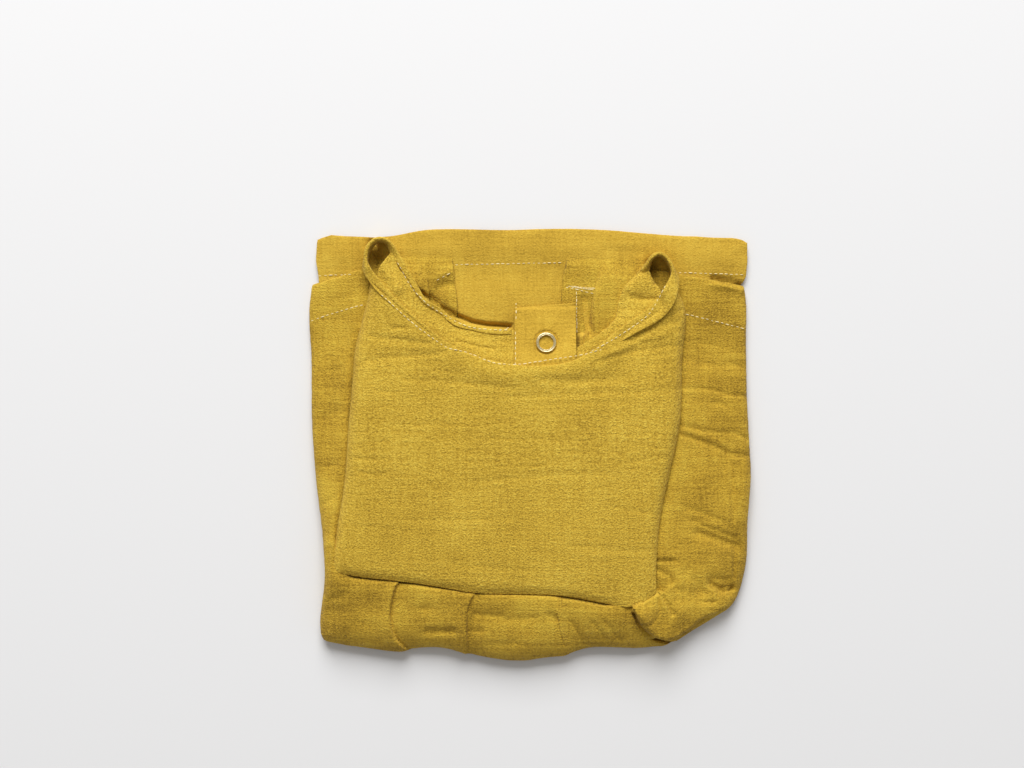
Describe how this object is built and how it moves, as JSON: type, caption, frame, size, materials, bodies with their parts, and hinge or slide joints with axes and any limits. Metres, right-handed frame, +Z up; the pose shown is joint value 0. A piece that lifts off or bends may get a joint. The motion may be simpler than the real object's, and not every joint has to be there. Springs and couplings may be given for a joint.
{
  "type": "folded baby dress",
  "caption": "Baby's short-sleeve cotton gauze dress with a gathered skirt, folded flat for a shelf and lying face up.",
  "frame": {"origin": "middle of the pack's bounding box, on the table", "axes": "+Z up from the table, +Y towards the neck and the hem at the top of the pack, +X to the viewer's right"},
  "size_m": [0.2226, 0.2184, 0.0175],
  "materials": {
    "gauze": "crinkled matte double gauze",
    "snap_metal": "polished nickel"
  },
  "bodies": {
    "root": {"bodice_front": "gauze", "bodice_back_left": "gauze", "bodice_back_right": "gauze", "placket": "gauze", "neck_binding": "gauze", "sleeve_left": "gauze", "sleeve_right": "gauze", "skirt_front": "gauze", "skirt_back": "gauze", "snap_ring": "snap_metal", "hidden_layers": "gauze"}
  },
  "joints": []
}
